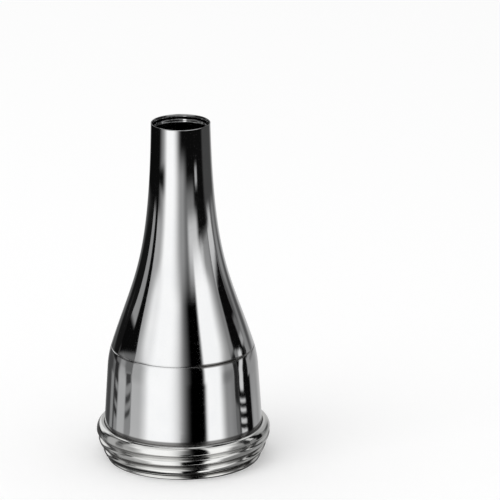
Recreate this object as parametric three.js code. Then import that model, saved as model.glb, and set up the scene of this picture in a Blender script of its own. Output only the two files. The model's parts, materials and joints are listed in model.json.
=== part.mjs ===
// Ear speculum: a spun metal funnel, lapped into a sleeve that stands in a threaded collar.
// Millimetres, +Z up, origin at the centre of the collar's base face, front towards -Y.

import * as THREE from 'three';

// Heights above the base face
const overallHeight = 38.9;
const sleeveTopHeight = 13.0;
const collarHeight = 4.1;

// Sheet metal and fits
const sheetThickness = 0.3;
const fitClearance = 0.04;
const edgeBreak = 0.1;

// Funnel
const tipBoreDiameter = 6.0;
const tipTubeLength = 1.4;
const tipTaperDegrees = 1.55;
const jointDiameter = 16.0;
const jointAngleDegrees = 17.4;
const upperHandleLength = 14.8;
const lowerHandleLength = 8.3;
const spigotLength = 2.2;

// Sleeve
const shoulderWidth = 0.2745;
const shoulderLength = 2.5;
const sleeveTaperDegrees = 3.7;

// Threaded collar, whose widths are set out from the sleeve's foot
const seatDepth = 1.3;
const seatLedgeWidth = 0.65;
const baseFaceWidth = 0.65;
const beadOverhang = 0.9;
const beadTopWidth = 0.26;
const beadHeight = 3.1;

// Right-hand external thread
const threadPitch = 1.27;
const threadDepth = 0.42;
const frontGrooveHeight = 1.63;
const leadInLength = 0.5;
const threadTopDrop = 0.1;
const runoutLength = 0.4;
const grooveWidthShare = 0.75;
const frontTurnShare = -0.25;

// Solder fillets
const lowerSolderLeg = 0.45;
const upperSolderTopShare = 0.3;
const upperSolderFootShare = 0.92;
const filletHollowShare = 0.35;

// Facets
const aroundSteps = 48;
const flareSteps = 16;
const shoulderSteps = 5;
const rimSteps = 4;
const threadSteps = 17;
const beadRoundSteps = 5;

// Sizes that follow from the driving dimensions
const tipRadius = tipBoreDiameter / 2 + sheetThickness;
const jointRadius = jointDiameter / 2;
const jointSlope = Math.tan(THREE.MathUtils.degToRad(jointAngleDegrees));
const sleeveSlope = Math.tan(THREE.MathUtils.degToRad(sleeveTaperDegrees));
const sleeveRise = sleeveTopHeight - collarHeight;
const footRadius = jointRadius + shoulderWidth + sleeveSlope * sleeveRise;
const seatRadius = footRadius + fitClearance;
const seatFloorHeight = collarHeight - seatDepth;
const spigotRadius = jointRadius - sheetThickness - fitClearance;
const spigotBoreRadius = spigotRadius - sheetThickness;
const spigotFootHeight = sleeveTopHeight - spigotLength;
const collarBoreRadius = footRadius - sheetThickness - seatLedgeWidth;
const baseRadius = collarBoreRadius + baseFaceWidth;
const beadRadius = footRadius + beadOverhang;
const beadTopRadius = seatRadius + beadTopWidth;
const threadTopHeight = beadHeight - threadTopDrop;
const fullTurn = 2 * Math.PI;

function point(radius, height) {
  return new THREE.Vector2(radius, height);
}

// The two points that take the sharpness off a corner
function brokenCorner(before, corner, after) {
  const towards = (target) => target.clone().sub(corner).setLength(edgeBreak).add(corner);
  return [towards(before), towards(after)];
}

function insetWall(points) {
  return points.map((p) => point(p.x - sheetThickness, p.y));
}

// The first place along an outline where one coordinate, x or y, reaches a value
function placeWhere(outline, coordinate, value) {
  const offset = (index) => outline[index][coordinate] - value;
  const next = outline.findIndex((p, index) => index > 0 && offset(index - 1) * offset(index) <= 0);
  const share = offset(next - 1) / (offset(next - 1) - offset(next));
  return outline[next - 1].clone().lerp(outline[next], share);
}

// Sections run anticlockwise with the radius to the right, so that faces point out
function turnedSolid(section) {
  const geometry = new THREE.LatheGeometry([...section, section[0]], aroundSteps);
  geometry.rotateX(Math.PI / 2);
  return geometry;
}

// The funnel's outer outline, from the joint up to the mouth of the tip's rounded rim
function funnelOutline() {
  const taper = THREE.MathUtils.degToRad(tipTaperDegrees);
  const jointAngle = THREE.MathUtils.degToRad(jointAngleDegrees);
  const rimHeight = overallHeight - sheetThickness / 2;
  const joint = point(jointRadius, sleeveTopHeight);
  const tubeFoot = point(tipRadius + tipTubeLength * Math.tan(taper), rimHeight - tipTubeLength);
  const lowerHandle = point(
    joint.x - lowerHandleLength * Math.sin(jointAngle),
    joint.y + lowerHandleLength * Math.cos(jointAngle),
  );
  const upperHandle = point(
    tubeFoot.x + upperHandleLength * Math.sin(taper),
    tubeFoot.y - upperHandleLength * Math.cos(taper),
  );
  const flare = new THREE.CubicBezierCurve(joint, lowerHandle, upperHandle, tubeFoot);
  return [...flare.getPoints(flareSteps), point(tipRadius, rimHeight)];
}

// Half-round edge of the tip, between the outer wall's end and the inner wall's end
function rimOutline() {
  const rimRadius = sheetThickness / 2;
  const points = [];
  for (let step = 1; step < rimSteps; step += 1) {
    const angle = Math.PI * step / rimSteps;
    points.push(point(
      tipRadius - rimRadius + rimRadius * Math.cos(angle),
      overallHeight - rimRadius + rimRadius * Math.sin(angle),
    ));
  }
  return points;
}

// The inner wall follows the flare down to the spigot's bore and then runs straight
function funnelGeometry() {
  const outer = funnelOutline();
  const inner = insetWall(outer).reverse();
  const boreFoot = point(spigotBoreRadius, spigotFootHeight);
  const spigotFoot = point(spigotRadius, spigotFootHeight);
  const shoulderRoot = point(spigotRadius, sleeveTopHeight);
  return turnedSolid([
    ...brokenCorner(shoulderRoot, outer[0], outer[1]),
    ...outer.slice(1),
    ...rimOutline(),
    ...inner.filter((p) => p.x < spigotBoreRadius),
    placeWhere(inner, 'x', spigotBoreRadius),
    boreFoot,
    ...brokenCorner(boreFoot, spigotFoot, shoulderRoot),
    shoulderRoot,
  ]);
}

// The sleeve's outer outline, from its foot up to the joint
function sleeveOutline() {
  const kneeDrop = shoulderWidth / (jointSlope - sleeveSlope);
  const wallPoint = (drop) => point(
    jointRadius + shoulderWidth + sleeveSlope * drop,
    sleeveTopHeight - drop,
  );
  const shoulder = new THREE.QuadraticBezierCurve(
    wallPoint(shoulderLength),
    wallPoint(kneeDrop),
    point(jointRadius, sleeveTopHeight),
  );
  return [
    point(footRadius, seatFloorHeight),
    point(footRadius, collarHeight),
    ...shoulder.getPoints(shoulderSteps),
  ];
}

function sleeveGeometry() {
  const outer = sleeveOutline();
  const inner = insetWall(outer).reverse();
  return turnedSolid([
    ...outer.slice(0, -1),
    ...brokenCorner(outer.at(-2), outer.at(-1), inner[0]),
    ...inner,
  ]);
}

// Crest radius of the collar: it swells from the base to the bead and rounds over above it
function collarCrestRadius(height) {
  if (height > beadHeight) {
    const rise = (height - beadHeight) / (collarHeight - beadHeight);
    return beadTopRadius + (beadRadius - beadTopRadius) * Math.sqrt(1 - rise * rise);
  }
  const drop = 1 - height / beadHeight;
  return beadRadius - (beadRadius - baseRadius) * drop * Math.sqrt(drop);
}

// Depth of the helical groove: it climbs one pitch a turn, anticlockwise seen from above
function grooveDepth(angle, height) {
  const turns = (height - frontGrooveHeight) / threadPitch - angle / fullTurn + frontTurnShare;
  const offCentre = Math.abs(turns - Math.round(turns)) / (grooveWidthShare / 2);
  const shape = offCentre < 1 ? Math.cos(offCentre * Math.PI / 2) ** 2 : 0;
  const leadIn = THREE.MathUtils.smoothstep(height, 0, leadInLength);
  const runout = THREE.MathUtils.smoothstep(height, threadTopHeight, threadTopHeight + runoutLength);
  return threadDepth * shape * leadIn * (1 - runout);
}

function collarWallHeights() {
  const heights = [];
  for (let step = 0; step < threadSteps; step += 1) {
    heights.push(beadHeight * step / threadSteps);
  }
  for (let step = 0; step <= beadRoundSteps; step += 1) {
    const angle = Math.PI / 2 * step / beadRoundSteps;
    heights.push(beadHeight + (collarHeight - beadHeight) * Math.sin(angle));
  }
  return heights;
}

function collarSection(angle) {
  const wall = collarWallHeights().map((height) => (
    point(collarCrestRadius(height) - grooveDepth(angle, height), height)
  ));
  const seatRoot = point(seatRadius, seatFloorHeight);
  const seatMouth = point(seatRadius, collarHeight);
  const boreFoot = point(collarBoreRadius, 0);
  const boreTop = point(collarBoreRadius, seatFloorHeight);
  return [
    ...brokenCorner(boreTop, boreFoot, wall[0]),
    ...wall,
    ...brokenCorner(wall.at(-1), seatMouth, seatRoot),
    seatRoot,
    boreTop,
  ];
}

// A ring whose section changes with the angle, closed round and across
function collarGeometry() {
  const positions = [];
  const indices = [];
  const sectionLength = collarSection(0).length;
  for (let step = 0; step < aroundSteps; step += 1) {
    const angle = fullTurn * step / aroundSteps;
    const thisColumn = step * sectionLength;
    const nextColumn = (step + 1) % aroundSteps * sectionLength;
    collarSection(angle).forEach((p, row) => {
      const nextRow = (row + 1) % sectionLength;
      positions.push(p.x * Math.cos(angle), p.x * Math.sin(angle), p.y);
      indices.push(thisColumn + row, nextColumn + row, nextColumn + nextRow);
      indices.push(thisColumn + row, nextColumn + nextRow, thisColumn + nextRow);
    });
  }
  const geometry = new THREE.BufferGeometry();
  geometry.setAttribute('position', new THREE.Float32BufferAttribute(positions, 3));
  geometry.setIndex(indices);
  geometry.computeVertexNormals();
  return geometry;
}

// Solder that fills the wedge between the spigot and the sleeve's shoulder
function upperSolderGeometry() {
  const topHeight = sleeveTopHeight - spigotLength * upperSolderTopShare;
  const footHeight = sleeveTopHeight - spigotLength * upperSolderFootShare;
  const innerRadius = spigotRadius + fitClearance;
  const sleeveBore = insetWall(sleeveOutline());
  const outerRadiusAt = (height) => placeWhere(sleeveBore, 'y', height).x - fitClearance;
  return turnedSolid([
    point(innerRadius, footHeight),
    point(outerRadiusAt(footHeight), footHeight),
    point(outerRadiusAt(topHeight), topHeight),
    point(innerRadius, topHeight),
  ]);
}

// Hollow-faced fillet in the corner between the sleeve's foot and the collar's seat
function lowerSolderGeometry() {
  const wallRadius = footRadius - sheetThickness - fitClearance;
  const toe = point(wallRadius - lowerSolderLeg, seatFloorHeight);
  const root = point(wallRadius, seatFloorHeight);
  const head = point(wallRadius, seatFloorHeight + lowerSolderLeg);
  const face = toe.clone().lerp(head, 0.5).lerp(root, filletHollowShare);
  return turnedSolid([toe, root, head, face]);
}

function chromePlate() {
  return new THREE.MeshStandardMaterial({ color: 0xd4d6d8, roughness: 0.08, metalness: 1 });
}

function nickelPlate() {
  return new THREE.MeshStandardMaterial({ color: 0xc9c8c2, roughness: 0.16, metalness: 1 });
}

function silverSolder() {
  return new THREE.MeshStandardMaterial({ color: 0xb4b2a8, roughness: 0.45, metalness: 1 });
}

function piece(name, geometry, material) {
  const mesh = new THREE.Mesh(geometry, material);
  mesh.name = name;
  return mesh;
}

const group = new THREE.Group();
group.add(piece('funnel', funnelGeometry(), chromePlate()));
group.add(piece('body_sleeve', sleeveGeometry(), chromePlate()));
group.add(piece('threaded_collar', collarGeometry(), nickelPlate()));
group.add(piece('upper_solder_ring', upperSolderGeometry(), silverSolder()));
group.add(piece('lower_solder_ring', lowerSolderGeometry(), silverSolder()));

export default group;
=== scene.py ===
import json
import math
from collections import namedtuple

import bpy
from mathutils import Matrix, Vector

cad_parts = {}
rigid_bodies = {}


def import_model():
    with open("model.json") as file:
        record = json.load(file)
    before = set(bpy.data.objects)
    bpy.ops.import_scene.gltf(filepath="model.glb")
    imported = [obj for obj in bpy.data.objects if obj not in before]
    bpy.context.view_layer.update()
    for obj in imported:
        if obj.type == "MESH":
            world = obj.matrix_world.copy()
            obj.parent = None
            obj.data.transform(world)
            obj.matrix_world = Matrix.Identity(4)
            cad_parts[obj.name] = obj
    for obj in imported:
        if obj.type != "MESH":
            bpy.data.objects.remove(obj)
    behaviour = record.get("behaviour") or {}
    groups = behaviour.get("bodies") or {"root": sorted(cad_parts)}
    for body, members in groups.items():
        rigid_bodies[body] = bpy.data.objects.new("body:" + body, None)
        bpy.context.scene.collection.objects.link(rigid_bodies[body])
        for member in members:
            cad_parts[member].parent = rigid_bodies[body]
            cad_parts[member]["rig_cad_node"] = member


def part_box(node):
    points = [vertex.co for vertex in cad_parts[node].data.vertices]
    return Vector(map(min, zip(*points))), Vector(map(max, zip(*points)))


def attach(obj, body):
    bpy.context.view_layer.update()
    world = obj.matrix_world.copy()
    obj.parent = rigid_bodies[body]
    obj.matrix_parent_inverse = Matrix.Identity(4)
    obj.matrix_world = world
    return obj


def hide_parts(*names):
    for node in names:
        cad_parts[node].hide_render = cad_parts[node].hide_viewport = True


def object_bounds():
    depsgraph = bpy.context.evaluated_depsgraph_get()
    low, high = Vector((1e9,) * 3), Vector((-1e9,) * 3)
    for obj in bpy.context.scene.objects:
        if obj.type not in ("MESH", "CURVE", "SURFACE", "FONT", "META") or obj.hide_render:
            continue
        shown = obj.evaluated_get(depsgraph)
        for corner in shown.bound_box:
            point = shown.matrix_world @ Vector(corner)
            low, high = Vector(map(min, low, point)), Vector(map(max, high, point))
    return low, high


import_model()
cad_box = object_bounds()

# Lengths are in metres, except those of the cards and of what carries them, which are millimetres
MM = 0.001
FRONT_ANGLE = -math.pi / 2

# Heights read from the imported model
COLLAR_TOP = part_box("threaded_collar")[1].z
SLEEVE_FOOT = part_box("body_sleeve")[0].z
SLEEVE_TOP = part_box("body_sleeve")[1].z
SPIGOT_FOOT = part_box("funnel")[0].z
TIP_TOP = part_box("funnel")[1].z

# Sheet metal and fits
SHEET = 0.3 * MM
CLEARANCE = 0.04 * MM
EDGE_ROUND = 0.1 * MM

# Funnel
TIP_RADIUS = 3.0 * MM + SHEET
TIP_TUBE_LENGTH = 1.4 * MM
TIP_TAPER = math.radians(1.55)
JOINT_RADIUS = 8.0 * MM
JOINT_ANGLE = math.radians(17.4)
UPPER_HANDLE = 14.8 * MM
LOWER_HANDLE = 8.3 * MM
SPIGOT_RADIUS = JOINT_RADIUS - SHEET - CLEARANCE
SPIGOT_BORE = SPIGOT_RADIUS - SHEET

# Mouth: the bevel ends at its depth, and the flare fades between its two depths
MOUTH_BEVEL = 0.08 * MM
MOUTH_BEVEL_DEPTH = 0.25 * MM
MOUTH_FLARE = 0.1 * MM
FLARE_FULL_DEPTH = 0.4 * MM
FLARE_END_DEPTH = 0.9 * MM

# Sleeve
SHOULDER_WIDTH = 0.2745 * MM
SHOULDER_LENGTH = 2.5 * MM
SLEEVE_TAPER = math.radians(3.7)
FOOT_RADIUS = JOINT_RADIUS + SHOULDER_WIDTH + math.tan(SLEEVE_TAPER) * (SLEEVE_TOP - COLLAR_TOP)

# Threaded collar
SEAT_RADIUS = FOOT_RADIUS + CLEARANCE
BASE_WIDTH = 0.65 * MM
BORE_RADIUS = FOOT_RADIUS - SHEET - BASE_WIDTH
BASE_RADIUS = BORE_RADIUS + BASE_WIDTH
BEAD_RADIUS = FOOT_RADIUS + 0.9 * MM
BEAD_TOP_RADIUS = SEAT_RADIUS + 0.26 * MM
BEAD_HEIGHT = 3.1 * MM

# Right-hand external thread
PITCH = 1.27 * MM
THREAD_DEPTH = 0.42 * MM
FRONT_GROOVE = 1.63 * MM
LEAD_IN = 0.5 * MM
THREAD_TOP = BEAD_HEIGHT - 0.1 * MM
RUNOUT = 0.4 * MM
GROOVE_WIDTH_SHARE = 0.75

# Fineness of the turned surfaces
AROUND = 256
FINE_CURVE = 64
FINE_ROUND = 8
CORNER_STEPS = 4
MOUTH_STEPS = 5 * FINE_ROUND
BEAD_STEPS = 3 * FINE_ROUND
THREAD_ROWS = 96
# The rows before this one would lie in the rounding at the joint
FIRST_JOINT_ROW = 3
SHARP_ANGLE = math.radians(40)

# Soft-edged card by azimuth and height. Azimuths are degrees from the front, positive to the
# right; the level is what it paints. Later cards paint over earlier ones.
Card = namedtuple("Card", "left left_blur right right_blur low high blur level")
FAR = 1000

# Painted shade: a dark colour, with more roughness, painted into the thread's grooves, along the
# joint line and above the collar
PAINTED_SHADE_COLOUR = (0.08, 0.075, 0.07)
PAINTED_SHADE_ROUGHNESS = 0.15
# Painted shade in the grooves: how much lighter it gets up towards the bead, and the shares of
# the groove's depth over which it grows
GROOVE_SHADE_FADE = 0.5
GROOVE_SHADE_START = 0.55
GROOVE_SHADE_FULL = 0.95
# Painted shade on the sleeve's foot above the collar: its strength, its reach and the share of
# that reach at full strength
FOOT_SHADE = 0.8
FOOT_SHADE_REACH = 0.48 * MM
FOOT_SHADE_FULL_SHARE = 0.6
# Painted shade along the joint line: its strength, the share of its reach at full strength, and
# its strength by azimuth
JOINT_SHADE = 0.6
JOINT_SHADE_FULL_SHARE = 0.5
JOINT_SHADE_CARDS = (
    Card(-80, 8, 8, 8, -FAR, FAR, 1, 0.35),
    Card(-30, 8, 4, 6, -FAR, FAR, 1, 0.10),
    Card(8, 8, 52, 10, -FAR, FAR, 1, 0.9),
)
# The joint line's painted shade: its reach from the joint line, as a multiple of the edge's
# rounding
JOINT_REACH = 1.0
JOINT_REACH_CARDS = (
    Card(-80, 8, 60, 8, -FAR, FAR, 1, 2.2),
    Card(10, 8, 60, 10, -FAR, FAR, 1, 2.7),
)

# Noise in the metal, as cycles per metre along x, y and z
CLOUD_SCALE = (420, 420, 300)
HAZE_SCALE = (700, 700, 2600)
MARK_SCALE = (900, 900, 14000)
CLOUD_DETAIL = 4.0
MARK_DETAIL = 6.0
MARK_STRENGTH = 0.3
NOISE_LOW = 0.3
NOISE_HIGH = 0.7

# Camera, fitted to the photograph's outline and ellipses
FRAME_PX = 500
FOCAL_PX = 5079
SENSOR_MM = 36
VIEW_DISTANCE = 566.9 * MM
VIEW_ELEVATION = math.radians(18.49)
AIM_HEIGHT = 18.0 * MM
AIM_X_PX = 182.3
AIM_Y_PX = 301.85
ROLL = math.radians(0.56)

# Light tent round the object, which only reflections see: a grey drum with soft cards on it
DRUM_AROUND = 480
TENT_RADIUS = 150
TENT_CENTRE_RADIUS = 1
TENT_HEIGHTS = (-130, 190)
TENT_ROWS = 80
TENT_GREY = 0.30
TENT_CARDS = (
    # back of the studio, lighter to the right
    Card(118, 12, 200, 12, -FAR, FAR, 1, 0.30),
    Card(150, 16, 200, 12, -FAR, FAR, 1, 0.55),
    Card(-200, 12, -165, 10, -FAR, FAR, 1, 0.12),
    Card(-200, 12, -160, 6, -30, FAR, 6, 0.50),
    # left side, high then low
    Card(-152, 12, -92, 8, -9, FAR, 4, 0.008),
    Card(-160, 12, -117, 5, -FAR, -9, 4, 0.14),
    Card(-160, 12, -131, 3, -FAR, -9, 4, 0.06),
    Card(-136, 3, -126, 2, -FAR, -28, 4, 0.28),
    Card(-126, 2, -117, 3, -FAR, -28, 4, 0.05),
    Card(-117, 5, -84, 4, -FAR, -9, 4, 0.36),
    Card(-84, 4, -58, 8, -FAR, FAR, 1, 0.40),
    Card(-84, 4, -56, 8, -FAR, -18, 14, 0.50),
    # soft box, front left
    Card(-58, 11, -12, 17, -FAR, FAR, 1, 1.12),
    Card(-72, 10, -40, 8, 38, FAR, 12, 0.95),
    Card(-50, 8, -12, 17, -FAR, FAR, 1, 1.12),
    # white cards, front right, with a grey one beside them
    Card(31, 3.5, 60, 8, -FAR, FAR, 8, 1.10),
    Card(50, 8, 69, 13, 38, FAR, 10, 1.10),
    Card(62, 7, 84, 6, -20, 12, 12, 0.20),
    # right side
    Card(76, 6, 114, 6, -FAR, -8, 6, 0.22),
    Card(84, 6, 117, 5, 20, FAR, 8, 0.10),
    Card(84, 6, 117, 5, -8, 20, 6, 0.30),
    Card(110, 5, 150, 9, -8, FAR, 6, 0.09),
    Card(117, 3, 132, 4, -4, 14.5, 4, 0.26),
    Card(119, 3, 136, 5, -FAR, -34, 2, 0.36),
    # light from high behind, both sides
    Card(-166, 6, -131, 5, 17, 100, 6, 0.88),
    Card(124, 5, 166, 8, 28, 100, 9, 0.42),
    # top light
    Card(-FAR, 1, FAR, 1, 120, FAR, 30, 0.80),
    # black card, front
    Card(3, 11, 31, 3.5, -FAR, FAR, 1, 0.0),
    Card(9, 8, 33, 5, -FAR, -8, 8, 0.0),
    Card(-4.5, 2, 31, 3.5, -FAR, -29, 2.5, 0.0),
)

# Sheet round the narrow end: where it is opaque, then what is painted on it
SHADE_RADIUS = 20
SHADE_HEIGHTS = (23, 60)
SHADE_ROWS = 90
SHADE_BLACK = 0.004
SHADE_COVER = (
    Card(-12, 18, 54, 5, 24.9, FAR, 0.9, 1),
    Card(43, 5, 88, 6, 25.4, FAR, 0.3, 1),
    Card(72, 6, 130, 8, 26.3, FAR, 0.9, 1),
    Card(-150, 8, -69, 15, 26.5, FAR, 0.9, 1),
    Card(-150, 8, -57, 9, 28.4, 30.9, 0.9, 1),
    Card(-FAR, 1, FAR, 1, 38.6, FAR, 0.3, 1),
)
SHADE_CARDS = (
    Card(-40, 5, 12, 10, -FAR, 31.6, 1.8, 0.31),
    Card(12, 10, 40, 5, -FAR, 29.3, 1.2, 0.20),
    Card(18, 5, 46, 6, -FAR, 27.2, 0.8, 0.62),
    Card(26, 5, 50, 6, -FAR, 25.2, 0.8, 0.95),
    Card(46, 2, 54, 2, 29.3, 31.0, 0.4, 0.42),
    Card(80, 6, 130, 8, -FAR, FAR, 1, 0.06),
    # level with the mouth and above: dark, then grey in front and behind, with one light patch
    Card(-FAR, 1, FAR, 1, 38.0, FAR, 0.2, 0.015),
    Card(-66, 8, 66, 8, 47.0, FAR, 0.5, 0.24),
    Card(-48, 5, 6, 4, 39.2, 43.6, 0.4, 0.12),
    Card(130, 10, FAR, 1, 41.5, FAR, 0.5, 0.24),
    Card(-FAR, 1, -130, 10, 41.5, FAR, 0.5, 0.24),
    Card(-25, 4, -11, 4, 40.6, 43.4, 0.4, 1.3),
)

# Turned drums at both sides, which only reflections see, glowing with painted light strips, dark
# edges and beads in place of neighbouring lit bodies; azimuths are about each one's own axis
REFLECTOR_OUTLINE = ((8.5, 0), (8.5, 17), (7, 20), (4, 28), (3.3, 39), (0.1, 39))
REFLECTOR_STEP = 0.2
REFLECTOR_AROUND = 180
REFLECTOR_BLACK = 0.003
LEFT_PLACE = -27
RIGHT_PLACE = 27
# Slanted tops, as the height in front and the rise per degree of azimuth
LEFT_TOP = (17.5, -0.04)
RIGHT_TOP = (18.3, 0.047)
SLANT_STEP = 8
SLANT_HALF_WIDTH = 6
SLANT_BLUR = 2
# Marks in a column, as middle heights and half heights
OUTER_BARS = ((8.7, 2.3), (4.8, 0.7), (2.9, 0.5))
INNER_BARS = ((8.2, 1.5), (5.0, 0.5), (3.2, 0.4))
RIGHT_BEADS = ((4.8, 0.22), (3.7, 0.25), (2.4, 0.28), (1.1, 0.4))
# Right strip, of short cards; it leans outwards above its bend, by degrees per millimetre
STRIP_AZIMUTH = -66
STRIP_HALF_WIDTH = 7
STRIP_BLUR = 3
STRIP_FOOT = 6.5
STRIP_STEP = 0.4
STRIP_CARDS = 20
STRIP_HALF_HEIGHT = 0.5
STRIP_BEND = 10.5
STRIP_LEAN = 3.6

# Surroundings
WORLD_LEVEL = 0.8
WORLD_SEEN_LEVEL = 1.0
FLOOR_HALF_WIDTH = 1.5
FLOOR_WHITE = 0.95
FLOOR_LIFT = 0.145
UNDERSHADE_RADIUS = 9.4 * MM
UNDERSHADE_LIFT = 0.02 * MM
UNDERSHADE_SIDES = 96
UNDERSHADE_BLACK = 0.01
LAMP_PLACE = (-0.25, -0.2, 0.45)
LAMP_AIM = (0, 0, 0.01)
LAMP_SIZE = 0.3
LAMP_POWER = 0.45


def smooth_share(value, low, high):
    share = min(max((value - low) / (high - low), 0.0), 1.0)
    return share * share * (3 - 2 * share)


def edge_share(value, edge, blur):
    return smooth_share(value, edge - blur, edge + blur)


def card_share(card, azimuth, height):
    if not card.left - card.left_blur < azimuth < card.right + card.right_blur:
        return 0.0
    across = edge_share(azimuth, card.left, card.left_blur)
    across *= 1 - edge_share(azimuth, card.right, card.right_blur)
    up = edge_share(height, card.low, card.blur)
    return across * up * (1 - edge_share(height, card.high, card.blur))


def painted(start, cards, azimuth, height):
    level = start
    for card in cards:
        level += (card.level - level) * card_share(card, azimuth, height)
    return level


def narrow_card(centre, half_width, side_blur, low, high, blur, level):
    left, right = centre - half_width, centre + half_width
    return Card(left, side_blur, right, side_blur, low, high, blur, level)


def slanted(azimuths, top, low, blur, level):
    height, slope = top
    return [
        narrow_card(a, SLANT_HALF_WIDTH, SLANT_BLUR, low, height + slope * a, blur, level)
        for a in azimuths
    ]


def column(marks, left, left_blur, right, right_blur, blur, level):
    return [
        Card(left, left_blur, right, right_blur, middle - half, middle + half, blur, level)
        for middle, half in marks
    ]


def leaning_strip():
    cards = []
    for row in range(STRIP_CARDS):
        height = STRIP_FOOT + STRIP_STEP * row
        low, high = height - STRIP_HALF_HEIGHT, height + STRIP_HALF_HEIGHT
        centre = STRIP_AZIMUTH - STRIP_LEAN * max(0.0, height - STRIP_BEND)
        cards.append(
            narrow_card(centre, STRIP_HALF_WIDTH, STRIP_BLUR, low, high, blur=0.3, level=0.68)
        )
    return cards


def left_reflector_cards():
    return (
        # light strip, fading upwards to a slanted top
        *slanted(range(-56, 150, SLANT_STEP), LEFT_TOP, low=-FAR, blur=0.3, level=0.15),
        Card(-60, 5, 150, 10, -FAR, 9.8, 1.2, 0.26),
        Card(70, 6, 92, 6, 8.5, 13.4, 0.6, 0.30),
        Card(67, 5, 90, 5, 8.0, 11.0, 0.8, 0.40),
        Card(62, 4, 94, 4, -FAR, 9.0, 1.5, 0.45),
        # dark edge behind it, and dark bars at both sides of it
        Card(119, 5, FAR, 1, -FAR, 13.4, 1, 0.07),
        *column(INNER_BARS, 30, 6, 60, 4, blur=0.3, level=0.05),
        *column(OUTER_BARS, 98, 4, 160, 4, blur=0.3, level=0.03),
        # neck
        Card(77, 4, 130, 5, 18.2, FAR, 0.6, 0.30),
    )


def right_reflector_cards():
    return (
        # front face, then back face
        Card(-52, 4, 40, 5, -FAR, 14.6, 1, 0.07),
        Card(-50, 6, -24, 8, 4.0, 13.6, 0.8, 0.02),
        Card(-46, 4, 40, 5, -FAR, 3.8, 0.5, 0.14),
        Card(-57, 4, 40, 5, 15.6, FAR, 0.6, 0.22),
        Card(-170, 5, -112, 6, -FAR, 14.0, 1, 0.30),
        Card(-170, 5, -99, 3, 7.4, 12.0, 0.5, 0.30),
        Card(-122, 4, -100, 4, 12.8, 13.7, 0.2, 0.02),
        Card(-170, 5, -102, 4, 14.2, 15.8, 0.3, 0.36),
        Card(-170, 5, -102, 5, 15.6, 18.0, 0.6, 0.15),
        # light strip with a slanted top, and beads under it
        *slanted(range(-86, -56, SLANT_STEP), RIGHT_TOP, low=13.8, blur=0.2, level=0.22),
        *leaning_strip(),
        *column(RIGHT_BEADS, -79, 4, -55, 3, blur=0.15, level=0.62),
        # neck
        Card(-150, 5, -48, 6, 22.8, FAR, 0.6, 0.60),
    )


def bezier(points, steps):
    curve = []
    for step in range(steps + 1):
        level = [Vector(p) for p in points]
        while len(level) > 1:
            level = [a.lerp(b, step / steps) for a, b in zip(level, level[1:])]
        curve.append(level[0])
    return curve


# A small arc in place of a sharp corner
def rounded(before, corner, after):
    before, corner, after = Vector(before), Vector(corner), Vector(after)
    start = corner + (before - corner).normalized() * EDGE_ROUND
    end = corner + (after - corner).normalized() * EDGE_ROUND
    return bezier([start, corner, end], CORNER_STEPS)


def inset(points):
    return [Vector((p.x - SHEET, p.y)) for p in points]


def placed(name, data):
    obj = bpy.data.objects.new(name, data)
    bpy.context.scene.collection.objects.link(obj)
    return obj


# A closed ring from a section that may change with the angle round the axis
def ring(name, section_at):
    angles = [math.tau * step / AROUND for step in range(AROUND)]
    sections = [section_at(angle) for angle in angles]
    rows = len(sections[0])
    verts = [
        (radius * math.cos(angle), radius * math.sin(angle), height)
        for angle, section in zip(angles, sections)
        for radius, height in section
    ]
    faces = []
    for step in range(AROUND):
        here, there = step * rows, (step + 1) % AROUND * rows
        for row in range(rows):
            above = (row + 1) % rows
            faces.append((here + row, there + row, there + above, here + above))
    mesh = bpy.data.meshes.new(name)
    mesh.from_pydata(verts, [], faces)
    mesh.shade_smooth()
    mesh.set_sharp_from_angle(angle=SHARP_ANGLE)
    return placed(name, mesh)


def funnel_outline():
    rim_height = TIP_TOP - SHEET / 2
    tube_radius = TIP_RADIUS + TIP_TUBE_LENGTH * math.tan(TIP_TAPER)
    tube_foot = Vector((tube_radius, rim_height - TIP_TUBE_LENGTH))
    joint = Vector((JOINT_RADIUS, SLEEVE_TOP))
    lower = joint + LOWER_HANDLE * Vector((-math.sin(JOINT_ANGLE), math.cos(JOINT_ANGLE)))
    upper = tube_foot + UPPER_HANDLE * Vector((math.sin(TIP_TAPER), -math.cos(TIP_TAPER)))
    curve = bezier([joint, lower, upper, tube_foot], FINE_CURVE)
    foot = [joint.lerp(curve[1], row / FINE_ROUND) for row in range(FIRST_JOINT_ROW, FINE_ROUND)]
    return [joint, *foot, *curve[1:], Vector((TIP_RADIUS, rim_height))]


# The mouth's round edge, then inside it a bevel and a short flare
def mouth_outline():
    radius = (SHEET - MOUTH_BEVEL - MOUTH_FLARE) / 2
    centre = Vector((TIP_RADIUS - radius, TIP_TOP - radius))
    angles = [math.pi * step / FINE_ROUND for step in range(FINE_ROUND)]
    edge = [centre + radius * Vector((math.cos(a), math.sin(a))) for a in angles]
    for step in range(MOUTH_STEPS + 1):
        depth = FLARE_END_DEPTH * step / MOUTH_STEPS
        bore = TIP_RADIUS - SHEET + depth * math.tan(TIP_TAPER)
        bevel = MOUTH_BEVEL * max(0.0, 1 - depth / MOUTH_BEVEL_DEPTH) ** 2
        flare = MOUTH_FLARE * (1 - smooth_share(depth, FLARE_FULL_DEPTH, FLARE_END_DEPTH))
        edge.append(Vector((bore + bevel + flare, centre.y - depth)))
    return edge


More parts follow.
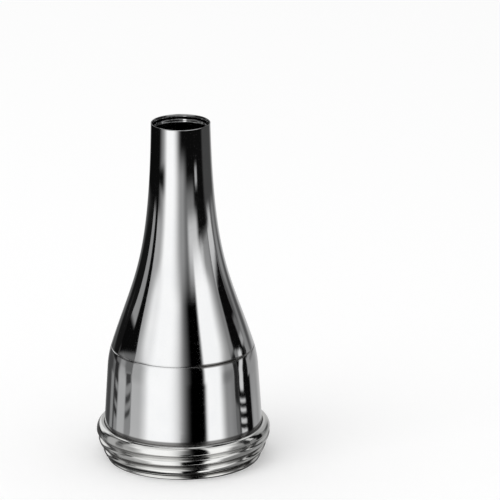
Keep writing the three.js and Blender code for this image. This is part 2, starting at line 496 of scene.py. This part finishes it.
def funnel_section():
    outer = funnel_outline()
    mouth = mouth_outline()
    inner = [p for p in reversed(inset(outer)) if p.x < SPIGOT_BORE and p.y < mouth[-1].y]
    drop = (SPIGOT_BORE - inner[-1].x) / math.tan(JOINT_ANGLE)
    bore_top = Vector((SPIGOT_BORE, inner[-1].y - drop))
    bore_foot = Vector((SPIGOT_BORE, SPIGOT_FOOT))
    spigot_foot = Vector((SPIGOT_RADIUS, SPIGOT_FOOT))
    shoulder_root = Vector((SPIGOT_RADIUS, SLEEVE_TOP))
    return [
        *rounded(shoulder_root, outer[0], outer[1]),
        *outer[1:],
        *mouth,
        *inner,
        bore_top,
        *rounded(bore_top, bore_foot, spigot_foot),
        *rounded(bore_foot, spigot_foot, shoulder_root),
        shoulder_root,
    ]


def sleeve_wall(drop):
    radius = JOINT_RADIUS + SHOULDER_WIDTH + math.tan(SLEEVE_TAPER) * drop
    return Vector((radius, SLEEVE_TOP - drop))


def sleeve_outline():
    # Rows close together over the reach of the painted shade above the collar
    rises = [FOOT_SHADE_REACH * row / FINE_ROUND for row in range(FINE_ROUND + 1)]
    foot = [sleeve_wall(SLEEVE_TOP - COLLAR_TOP - rise) for rise in rises]
    knee_drop = SHOULDER_WIDTH / (math.tan(JOINT_ANGLE) - math.tan(SLEEVE_TAPER))
    handles = [sleeve_wall(SHOULDER_LENGTH), sleeve_wall(knee_drop), (JOINT_RADIUS, SLEEVE_TOP)]
    return [Vector((FOOT_RADIUS, SLEEVE_FOOT)), *foot, *bezier(handles, FINE_CURVE // 2)]


def sleeve_section():
    outer = sleeve_outline()
    inner = inset(outer)[::-1]
    return [*outer[:-2], *rounded(outer[-3], outer[-1], inner[0]), *inner]


def crest_radius(height):
    if height > BEAD_HEIGHT:
        rise = (height - BEAD_HEIGHT) / (COLLAR_TOP - BEAD_HEIGHT)
        bulge = math.sqrt(max(0.0, 1 - rise * rise))
        return BEAD_TOP_RADIUS + (BEAD_RADIUS - BEAD_TOP_RADIUS) * bulge
    drop = 1 - height / BEAD_HEIGHT
    return BEAD_RADIUS - (BEAD_RADIUS - BASE_RADIUS) * drop * math.sqrt(drop)


# The groove climbs one pitch a turn, anticlockwise seen from above
def groove_depth(angle, height):
    turns = (height - FRONT_GROOVE) / PITCH - (angle - FRONT_ANGLE) / math.tau
    off_centre = abs(turns - round(turns)) / (GROOVE_WIDTH_SHARE / 2)
    shape = math.cos(off_centre * math.pi / 2) ** 2 if off_centre < 1 else 0.0
    ends = 1 - smooth_share(height, THREAD_TOP, THREAD_TOP + RUNOUT)
    ends *= smooth_share(height, 0, LEAD_IN)
    return THREAD_DEPTH * shape * ends


def collar_heights():
    lower = [BEAD_HEIGHT * row / THREAD_ROWS for row in range(THREAD_ROWS)]
    rise = COLLAR_TOP - BEAD_HEIGHT
    angles = [math.pi / 2 * step / BEAD_STEPS for step in range(BEAD_STEPS + 1)]
    return lower + [BEAD_HEIGHT + rise * math.sin(a) for a in angles]


def collar_section(angle):
    wall = [Vector((crest_radius(h) - groove_depth(angle, h), h)) for h in collar_heights()]
    bore_foot, bore_top = Vector((BORE_RADIUS, 0)), Vector((BORE_RADIUS, SLEEVE_FOOT))
    seat_root, seat_mouth = Vector((SEAT_RADIUS, SLEEVE_FOOT)), Vector((SEAT_RADIUS, COLLAR_TOP))
    return [
        *rounded(bore_top, bore_foot, wall[0]),
        *wall,
        *rounded(wall[-1], seat_mouth, seat_root),
        seat_root,
        *rounded(seat_root, bore_top, bore_foot),
    ]


# Painted shade in the thread's grooves: darker where the groove is deeper, and towards the bottom
def groove_shade(angle, radius, height):
    if radius < crest_radius(height) - THREAD_DEPTH - EDGE_ROUND or height > COLLAR_TOP:
        return 0.0
    heavy = 1 - GROOVE_SHADE_FADE * smooth_share(height, LEAD_IN, BEAD_HEIGHT)
    depth_share = groove_depth(angle, height) / THREAD_DEPTH
    return heavy * smooth_share(depth_share, GROOVE_SHADE_START, GROOVE_SHADE_FULL)


# Painted shade along the joint line, with its strength and reach set by azimuth from the front,
# and on the sleeve's foot above the collar
def joint_and_foot_shade(angle, radius, height):
    azimuth = (math.degrees(angle - FRONT_ANGLE) + 180) % 360 - 180
    reach = EDGE_ROUND * painted(JOINT_REACH, JOINT_REACH_CARDS, azimuth, 0)
    off_joint = abs(height - SLEEVE_TOP)
    joint = 1 - smooth_share(off_joint, JOINT_SHADE_FULL_SHARE * reach, reach)
    joint *= painted(JOINT_SHADE, JOINT_SHADE_CARDS, azimuth, 0)
    full_reach = FOOT_SHADE_FULL_SHARE * FOOT_SHADE_REACH
    foot = 1 - smooth_share(height - COLLAR_TOP, full_reach, FOOT_SHADE_REACH)
    return max(joint, FOOT_SHADE * foot)


# Stores each vertex's share of painted shade on the piece, for the metal to read
def paint_shade(piece, share_at):
    layer = piece.data.attributes.new("paint_shade", "FLOAT", "POINT")
    for vertex, mark in zip(piece.data.vertices, layer.data):
        x, y, z = vertex.co
        mark.value = share_at(math.atan2(y, x), math.hypot(x, y), z)


# Shader building blocks
def new_material(name):
    material = bpy.data.materials.new(name)
    material.use_nodes = True
    nodes = material.node_tree.nodes
    return material, nodes, material.node_tree.links, nodes["Principled BSDF"]


def stretched_noise(nodes, links, scale, detail=CLOUD_DETAIL):
    place = nodes.new("ShaderNodeTexCoord")
    mapping = nodes.new("ShaderNodeMapping")
    mapping.inputs["Scale"].default_value = scale
    noise = nodes.new("ShaderNodeTexNoise")
    noise.inputs["Scale"].default_value = 1.0
    noise.inputs["Detail"].default_value = detail
    links.new(place.outputs["Object"], mapping.inputs["Vector"])
    links.new(mapping.outputs["Vector"], noise.inputs["Vector"])
    return noise.outputs["Fac"]


def mapped(nodes, links, value, low, high):
    spread = nodes.new("ShaderNodeMapRange")
    spread.inputs["From Min"].default_value = NOISE_LOW
    spread.inputs["From Max"].default_value = NOISE_HIGH
    spread.inputs["To Min"].default_value = low
    spread.inputs["To Max"].default_value = high
    links.new(value, spread.inputs["Value"])
    return spread.outputs["Result"]


# Cloudy polish, fine marks round the axis, faint changes of tone, and painted shade, a dark
# colour with more roughness, in recesses and along the joint
def plated_metal(name, dark, light, smoothest, roughest, mark_depth):
    material, nodes, links, shader = new_material(name)
    shader.inputs["Metallic"].default_value = 1.0
    cloud = stretched_noise(nodes, links, CLOUD_SCALE)
    tone = nodes.new("ShaderNodeMix")
    tone.data_type = "RGBA"
    tone.inputs["A"].default_value = (*dark, 1)
    tone.inputs["B"].default_value = (*light, 1)
    links.new(cloud, tone.inputs["Factor"])
    # The vertices' share of painted shade mixes in the dark colour and adds roughness
    shade_share = nodes.new("ShaderNodeAttribute")
    shade_share.attribute_name = "paint_shade"
    shade_mix = nodes.new("ShaderNodeMix")
    shade_mix.data_type = "RGBA"
    shade_mix.inputs["B"].default_value = (*PAINTED_SHADE_COLOUR, 1)
    links.new(shade_share.outputs["Fac"], shade_mix.inputs["Factor"])
    links.new(tone.outputs["Result"], shade_mix.inputs["A"])
    links.new(shade_mix.outputs["Result"], shader.inputs["Base Color"])
    haze = stretched_noise(nodes, links, HAZE_SCALE)
    dulled = nodes.new("ShaderNodeMath")
    dulled.operation = "MULTIPLY_ADD"
    dulled.inputs[1].default_value = PAINTED_SHADE_ROUGHNESS
    links.new(shade_share.outputs["Fac"], dulled.inputs[0])
    links.new(mapped(nodes, links, haze, smoothest, roughest), dulled.inputs[2])
    links.new(dulled.outputs["Value"], shader.inputs["Roughness"])
    marks = stretched_noise(nodes, links, MARK_SCALE, MARK_DETAIL)
    bump = nodes.new("ShaderNodeBump")
    bump.inputs["Strength"].default_value = MARK_STRENGTH
    bump.inputs["Distance"].default_value = mark_depth
    links.new(marks, bump.inputs["Height"])
    links.new(bump.outputs["Normal"], shader.inputs["Normal"])
    return material


def build_metals():
    mirror = plated_metal(
        "mirror_plate",
        dark=(0.78, 0.79, 0.80),
        light=(0.88, 0.88, 0.88),
        smoothest=0.03,
        roughest=0.09,
        mark_depth=0.4e-6,
    )
    turned = plated_metal(
        "turned_plate",
        dark=(0.76, 0.76, 0.75),
        light=(0.86, 0.86, 0.84),
        smoothest=0.06,
        roughest=0.14,
        mark_depth=1.0e-6,
    )
    # Solder painted near black, as painted shade in the joint line
    solder = plated_metal(
        "silver_solder",
        dark=(0.10, 0.10, 0.09),
        light=(0.24, 0.23, 0.21),
        smoothest=0.30,
        roughest=0.50,
        mark_depth=6e-6,
    )
    return mirror, turned, solder


def build_pieces():
    mirror, turned, solder = build_metals()
    funnel_profile, sleeve_profile = funnel_section(), sleeve_section()
    funnel = ring("spun_funnel", lambda angle: funnel_profile)
    sleeve = ring("drawn_sleeve", lambda angle: sleeve_profile)
    collar = ring("turned_collar", collar_section)
    for piece, node, slot, material, share_at in (
        (funnel, "funnel", "polished_plate", mirror, joint_and_foot_shade),
        (sleeve, "body_sleeve", "polished_plate", mirror, joint_and_foot_shade),
        (collar, "threaded_collar", "turned_plate", turned, groove_shade),
    ):
        # Painted shade in the grooves, along the joint line and above the collar
        paint_shade(piece, share_at)
        piece.data.materials.append(material)
        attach(piece, "root")
        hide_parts(node)
    # The solder rings take the near-black solder, painted shade at the joint
    for node in ("upper_solder_ring", "lower_solder_ring"):
        kept = next(o for o in bpy.data.objects if o.get("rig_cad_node") == node)
        kept.data.materials.clear()
        kept.data.materials.append(solder)


def build_camera():
    aim = Vector((0, 0, AIM_HEIGHT))
    level_up = Vector((0, math.sin(VIEW_ELEVATION), math.cos(VIEW_ELEVATION)))
    back = Vector((0, -math.cos(VIEW_ELEVATION), math.sin(VIEW_ELEVATION)))
    right = math.cos(ROLL) * Vector((1, 0, 0)) - math.sin(ROLL) * level_up
    up = back.cross(right)
    metres_per_px = VIEW_DISTANCE / FOCAL_PX
    offset = (FRAME_PX / 2 - AIM_X_PX) * right + (AIM_Y_PX - FRAME_PX / 2) * up
    look_at = aim + metres_per_px * offset
    data = bpy.data.cameras.new("camera")
    data.sensor_width = SENSOR_MM
    data.lens = FOCAL_PX / FRAME_PX * SENSOR_MM
    camera = placed("camera", data)
    camera.location = aim + back * VIEW_DISTANCE
    behind = (camera.location - look_at).normalized()
    side = up.cross(behind).normalized()
    camera.rotation_euler = Matrix((side, behind.cross(side), behind)).transposed().to_euler()
    bpy.context.scene.camera = camera


def glow_material(name):
    material, nodes, links, shader = new_material(name)
    nodes.remove(shader)
    glow = nodes.new("ShaderNodeEmission")
    clear = nodes.new("ShaderNodeBsdfTransparent")
    cover = nodes.new("ShaderNodeMixShader")
    paint = nodes.new("ShaderNodeVertexColor")
    paint.layer_name = "paint"
    links.new(paint.outputs["Color"], glow.inputs["Color"])
    links.new(paint.outputs["Alpha"], cover.inputs["Fac"])
    links.new(clear.outputs["BSDF"], cover.inputs[1])
    links.new(glow.outputs["Emission"], cover.inputs[2])
    links.new(cover.outputs["Shader"], nodes["Material Output"].inputs["Surface"])
    return material


def only_in_reflections(obj):
    obj.visible_camera = False
    obj.visible_diffuse = False
    obj.visible_shadow = False
    obj.visible_transmission = False
    obj.visible_volume_scatter = False


# An open turned sheet painted by a function of azimuth and height, which gives level and cover
def painted_drum(name, outline, paint, around=DRUM_AROUND, place=0):
    verts, colours, faces = [], [], []
    for step in range(around):
        azimuth = -180 + 360 * step / around
        angle = FRONT_ANGLE + math.radians(azimuth)
        across, back = math.cos(angle), math.sin(angle)
        for radius, height in outline:
            verts.append((radius * MM * across, radius * MM * back, height * MM))
            level, cover = paint(azimuth, height)
            colours.append((level, level, level, cover))
    for step in range(around):
        here, there = step * len(outline), (step + 1) % around * len(outline)
        for row in range(len(outline) - 1):
            faces.append((here + row, here + row + 1, there + row + 1, there + row))
    mesh = bpy.data.meshes.new(name)
    mesh.from_pydata(verts, [], faces)
    layer = mesh.color_attributes.new("paint", "FLOAT_COLOR", "POINT")
    for point, colour in zip(layer.data, colours):
        point.color = colour
    mesh.materials.append(glow_material(name + "_glow"))
    drum = placed(name, mesh)
    drum.location.x = place * MM
    only_in_reflections(drum)


def upright(radius, heights, rows):
    low, high = heights
    return [(radius, low + (high - low) * row / rows) for row in range(rows + 1)]


def subdivided(outline, step):
    points = []
    for start, end in zip(outline, outline[1:]):
        parts = math.ceil(math.dist(start, end) / step)
        points += [tuple(Vector(start).lerp(Vector(end), part / parts)) for part in range(parts)]
    return points + [outline[-1]]


def build_tent():
    foot, top = (
        [(TENT_CENTRE_RADIUS, height), (TENT_RADIUS / 2, height)] for height in TENT_HEIGHTS
    )
    outline = [*foot, *upright(TENT_RADIUS, TENT_HEIGHTS, TENT_ROWS), *reversed(top)]
    painted_drum("light_tent", outline, lambda a, h: (painted(TENT_GREY, TENT_CARDS, a, h), 1))


def build_reflector(name, place, cards):
    painted_drum(
        name,
        subdivided(REFLECTOR_OUTLINE, REFLECTOR_STEP),
        lambda a, h: (painted(REFLECTOR_BLACK, cards, a, h), 1),
        around=REFLECTOR_AROUND,
        place=place,
    )


def build_shades():
    painted_drum(
        "tip_shades",
        upright(SHADE_RADIUS, SHADE_HEIGHTS, SHADE_ROWS),
        lambda a, h: (
            painted(SHADE_BLACK, SHADE_CARDS, a, h),
            max(card_share(card, a, h) for card in SHADE_COVER),
        ),
    )


def flat_stage(name, corners, height):
    mesh = bpy.data.meshes.new(name)
    mesh.from_pydata([(x, y, height) for x, y in corners], [], [range(len(corners))])
    obj = placed(name, mesh)
    return obj


# One for camera, mirror and glass rays, and nought for the rays that light things
def seen_share(nodes, links):
    path = nodes.new("ShaderNodeLightPath")
    total = path.outputs["Is Camera Ray"]
    for kind in ("Is Glossy Ray", "Is Transmission Ray"):
        added = nodes.new("ShaderNodeMath")
        added.operation = "ADD"
        added.use_clamp = True
        links.new(total, added.inputs[0])
        links.new(path.outputs[kind], added.inputs[1])
        total = added.outputs["Value"]
    return total


# Matt white, lifted a little where it is seen
def build_floor():
    half = FLOOR_HALF_WIDTH
    corners = [(-half, -half), (half, -half), (half, half), (-half, half)]
    floor = flat_stage("floor", corners, cad_box[0].z)
    floor.visible_glossy = False
    material, nodes, links, shader = new_material("floor_white")
    shader.inputs["Base Color"].default_value = (FLOOR_WHITE, FLOOR_WHITE, FLOOR_WHITE, 1)
    shader.inputs["Roughness"].default_value = 1.0
    shader.inputs["Specular IOR Level"].default_value = 0.0
    lift = nodes.new("ShaderNodeMath")
    lift.operation = "MULTIPLY"
    lift.inputs[1].default_value = FLOOR_LIFT
    links.new(seen_share(nodes, links), lift.inputs[0])
    shader.inputs["Emission Color"].default_value = (1, 1, 1, 1)
    links.new(lift.outputs["Value"], shader.inputs["Emission Strength"])
    floor.data.materials.append(material)


# Dark disc on the floor, for the collar to reflect
def build_undershade():
    angles = [math.tau * step / UNDERSHADE_SIDES for step in range(UNDERSHADE_SIDES)]
    rim = [(UNDERSHADE_RADIUS * math.cos(a), UNDERSHADE_RADIUS * math.sin(a)) for a in angles]
    shade = flat_stage("shade_under_object", rim, cad_box[0].z + UNDERSHADE_LIFT)
    material, _, _, shader = new_material("shade_dark")
    dark = (UNDERSHADE_BLACK, UNDERSHADE_BLACK, UNDERSHADE_BLACK, 1)
    shader.inputs["Base Color"].default_value = dark
    shade.data.materials.append(material)
    only_in_reflections(shade)


def build_world():
    world = bpy.data.worlds.new("world")
    bpy.context.scene.world = world
    world.use_nodes = True
    nodes, links = world.node_tree.nodes, world.node_tree.links
    strength = nodes.new("ShaderNodeMapRange")
    strength.inputs["To Min"].default_value = WORLD_LEVEL
    strength.inputs["To Max"].default_value = WORLD_SEEN_LEVEL
    links.new(seen_share(nodes, links), strength.inputs["Value"])
    nodes["Background"].inputs["Color"].default_value = (1, 1, 1, 1)
    links.new(strength.outputs["Result"], nodes["Background"].inputs["Strength"])


def build_lamp():
    data = bpy.data.lights.new("key_light", "AREA")
    data.size = LAMP_SIZE
    data.energy = LAMP_POWER
    lamp = placed("key_light", data)
    lamp.location = LAMP_PLACE
    lamp.rotation_mode = "QUATERNION"
    lamp.rotation_quaternion = (Vector(LAMP_AIM) - lamp.location).to_track_quat("-Z", "Y")
    lamp.visible_glossy = False


build_pieces()
build_camera()
build_tent()
build_reflector("left_reflector", LEFT_PLACE, left_reflector_cards())
build_reflector("right_reflector", RIGHT_PLACE, right_reflector_cards())
build_shades()
build_floor()
build_undershade()
build_world()
build_lamp()
bpy.context.scene.view_settings.view_transform = "Standard"
